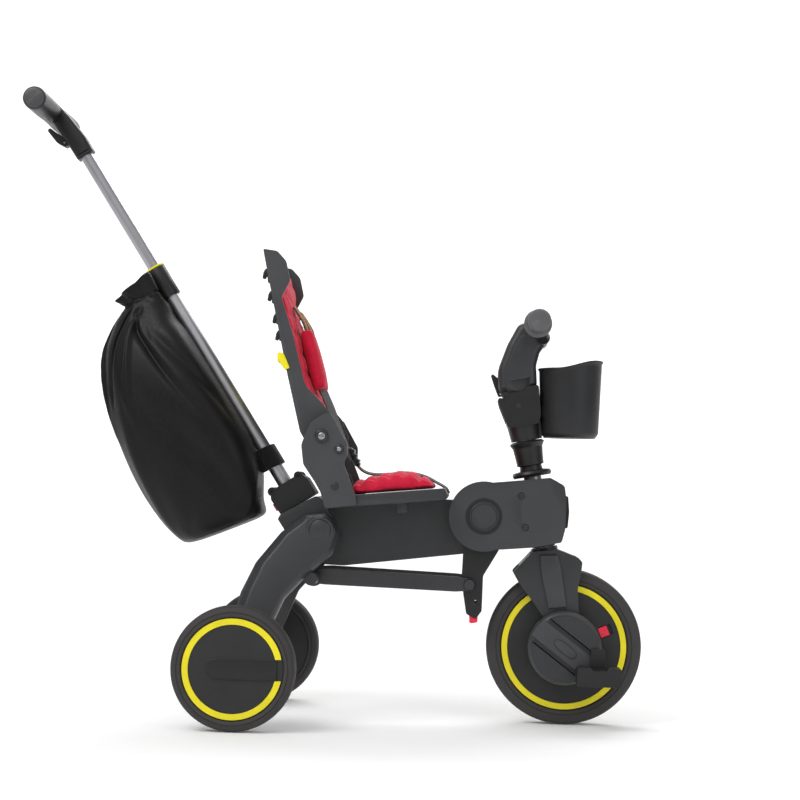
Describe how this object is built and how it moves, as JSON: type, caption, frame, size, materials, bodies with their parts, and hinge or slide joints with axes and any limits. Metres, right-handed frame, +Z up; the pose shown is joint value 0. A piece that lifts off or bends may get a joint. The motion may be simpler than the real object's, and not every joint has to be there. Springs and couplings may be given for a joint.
{
  "type": "children's tricycle",
  "caption": "Folding children's tricycle with a telescopic push handle, padded seat with harness, pedals, steering, cup holder and rear storage bag.",
  "frame": {"origin": "centre of the bounding box in plan, on the ground", "axes": "+X forwards to the front wheel, +Y to the rider's left along the axles, +Z up"},
  "size_m": [0.9742, 0.45, 0.9653],
  "materials": {
    "dark_plastic": "fine textured matte",
    "grey_plastic": "satin moulded",
    "wheel_plastic": "fine textured matte",
    "cup_plastic": "satin moulded",
    "bush_plastic": "smooth",
    "yellow_plastic": "smooth",
    "red_plastic": "smooth",
    "tyre_rubber": "matte",
    "grip_rubber": "matte",
    "steel": "satin",
    "black_steel": "satin black",
    "tube_alloy": "anodised satin",
    "red_fabric": "woven",
    "black_webbing": "woven",
    "black_nylon": "fine woven"
  },
  "bodies": {
    "frame": {"main_beam": "dark_plastic", "rear_mount": "dark_plastic", "hub_pin": "steel", "seat_pan": "grey_plastic", "seat_cushion": "red_fabric", "seat_brackets": "grey_plastic", "backrest_bolts": "black_steel", "crotch_strap": "black_webbing", "handle_socket": "dark_plastic", "lower_handle_tube": "tube_alloy", "tube_collar": "dark_plastic", "storage_bag": "black_nylon"},
    "head": {"head_housing_right": "grey_plastic", "head_housing_left": "grey_plastic", "head_screws": "black_steel", "steering_bushes": "bush_plastic", "hub_caps": "grey_plastic"},
    "lock_button": {"steering_lock_button": "dark_plastic"},
    "steering": {"steering_column": "steel", "fork": "grey_plastic", "wheel_bushes": "bush_plastic", "stem_sleeve": "dark_plastic", "yoke_socket": "dark_plastic", "yoke_pin": "steel", "cup": "cup_plastic"},
    "handlebar": {"handlebar_yoke": "grey_plastic", "handlebar_tube": "dark_plastic", "grips": "grip_rubber"},
    "latch": {"handlebar_latch": "dark_plastic"},
    "front_wheel": {"front_tyre": "tyre_rubber", "front_wheel_disc": "wheel_plastic", "front_wheel_rings": "yellow_plastic"},
    "clutch": {"clutch_slider": "red_plastic"},
    "cranks": {"crank_axle": "steel", "crank_right": "grey_plastic", "crank_left": "grey_plastic"},
    "pedal_r": {"pedal_right": "dark_plastic"},
    "pedal_l": {"pedal_left": "dark_plastic"},
    "arms": {"fold_arms": "black_steel", "strut_rivets": "black_steel"},
    "fold_tab": {"fold_release_tab": "red_plastic"},
    "struts": {"side_struts": "black_steel"},
    "legs": {"rear_leg_right": "grey_plastic", "rear_leg_left": "grey_plastic", "rear_pivot_shaft": "steel", "rear_stub_axles": "steel"},
    "wheel_r": {"rear_wheel_right": "wheel_plastic", "rear_tyre_right": "tyre_rubber", "rear_ring_right": "yellow_plastic"},
    "wheel_l": {"rear_wheel_left": "wheel_plastic", "rear_tyre_left": "tyre_rubber", "rear_ring_left": "yellow_plastic"},
    "backrest": {"backrest_shell": "grey_plastic", "backrest_pad": "red_fabric", "shoulder_straps": "red_fabric"},
    "recline": {"recline_button": "yellow_plastic"},
    "push_handle": {"upper_handle_tube": "tube_alloy", "push_bar": "dark_plastic"},
    "trigger": {"push_bar_trigger": "dark_plastic"},
    "tube_release": {"handle_release_button": "red_plastic"}
  },
  "joints": [
    {"name": "front_fold", "type": "hinge", "parent": "frame", "child": "head", "pos_m": [0.237, 0, 0.321], "axis": [0, 1, 0], "range_deg": [0, 65]},
    {"name": "arm_fold", "type": "hinge", "parent": "frame", "child": "arms", "pos_m": [0.237, 0, 0.321], "axis": [0, 1, 0], "range_deg": [-37.05, 0]},
    {"name": "strut_fold", "type": "hinge", "parent": "arms", "child": "struts", "pos_m": [0.217, 0, 0.215], "axis": [0, 1, 0], "range_deg": [0, 40.87]},
    {"name": "rear_fold", "type": "hinge", "parent": "frame", "child": "legs", "pos_m": [-0.012, 0, 0.294], "axis": [0, 1, 0], "range_deg": [-59, 0]},
    {"name": "rear_wheel_spin_right", "type": "hinge", "parent": "legs", "child": "wheel_r", "pos_m": [-0.12588, -0.204, 0.092], "axis": [0, 1, 0], "continuous": true},
    {"name": "rear_wheel_spin_left", "type": "hinge", "parent": "legs", "child": "wheel_l", "pos_m": [-0.12588, 0.204, 0.092], "axis": [0, 1, 0], "continuous": true},
    {"name": "steering_turn", "type": "hinge", "parent": "head", "child": "steering", "pos_m": [0.3226, 0, 0.33], "axis": [-0.1822, 0, 0.9833], "range_deg": [-18, 18]},
    {"name": "steering_lock_press", "type": "slide", "parent": "head", "child": "lock_button", "axis": [-1, 0, 0], "range_m": [0, 0.0025], "stiffness_N_per_m": 600},
    {"name": "handlebar_fold", "type": "hinge", "parent": "steering", "child": "handlebar", "pos_m": [0.28805, 0, 0.49446], "axis": [0, 1, 0], "range_deg": [-75, 0]},
    {"name": "handlebar_latch_pull", "type": "hinge", "parent": "handlebar", "child": "latch", "pos_m": [0.26008, 0, 0.51368], "axis": [0, 1, 0], "range_deg": [-12, 0], "stiffness_Nm_per_rad": 0.3},
    {"name": "front_wheel_spin", "type": "hinge", "parent": "steering", "child": "front_wheel", "pos_m": [0.36612, 0, 0.121], "axis": [0, 1, 0], "continuous": true},
    {"name": "crank_spin", "type": "hinge", "parent": "steering", "child": "cranks", "pos_m": [0.36612, 0, 0.121], "axis": [0, 1, 0], "continuous": true},
    {"name": "clutch_slide", "type": "slide", "parent": "front_wheel", "child": "clutch", "axis": [0.9272, 0, 0.3746], "range_m": [0, 0.005]},
    {"name": "pedal_spin_right", "type": "hinge", "parent": "cranks", "child": "pedal_r", "pos_m": [0.41643, -0.09, 0.08309], "axis": [0, 1, 0], "continuous": true},
    {"name": "pedal_spin_left", "type": "hinge", "parent": "cranks", "child": "pedal_l", "pos_m": [0.3158, 0.09, 0.15891], "axis": [0, 1, 0], "continuous": true},
    {"name": "fold_tab_press", "type": "slide", "parent": "arms", "child": "fold_tab", "axis": [0, 0, 1], "range_m": [0, 0.004], "stiffness_N_per_m": 600},
    {"name": "backrest_fold", "type": "hinge", "parent": "frame", "child": "backrest", "pos_m": [-0.011, 0, 0.437], "axis": [0, 1, 0], "range_deg": [0, 60]},
    {"name": "recline_lift", "type": "slide", "parent": "backrest", "child": "recline", "axis": [-0.2182, 0, 0.9759], "range_m": [0, 0.006], "stiffness_N_per_m": 500},
    {"name": "handle_telescope", "type": "slide", "parent": "frame", "child": "push_handle", "axis": [-0.5432, 0, 0.8396], "range_m": [-0.195, 0.08]},
    {"name": "trigger_squeeze", "type": "hinge", "parent": "push_handle", "child": "trigger", "pos_m": [-0.44747, 0, 0.90059], "axis": [0, 1, 0], "range_deg": [0, 8], "stiffness_Nm_per_rad": 0.6},
    {"name": "tube_release_press", "type": "slide", "parent": "frame", "child": "tube_release", "axis": [0.8396, 0, 0.5432], "range_m": [0, 0.003], "stiffness_N_per_m": 600}
  ],
  "couplings": [
    {"joint": "arm_fold", "follows": "front_fold", "ratio": -0.57},
    {"joint": "strut_fold", "follows": "front_fold", "ratio": 0.62877},
    {"joint": "rear_fold", "follows": "front_fold", "ratio": -0.90769},
    {"joint": "crank_spin", "follows": "front_wheel_spin", "ratio": 1}
  ]
}
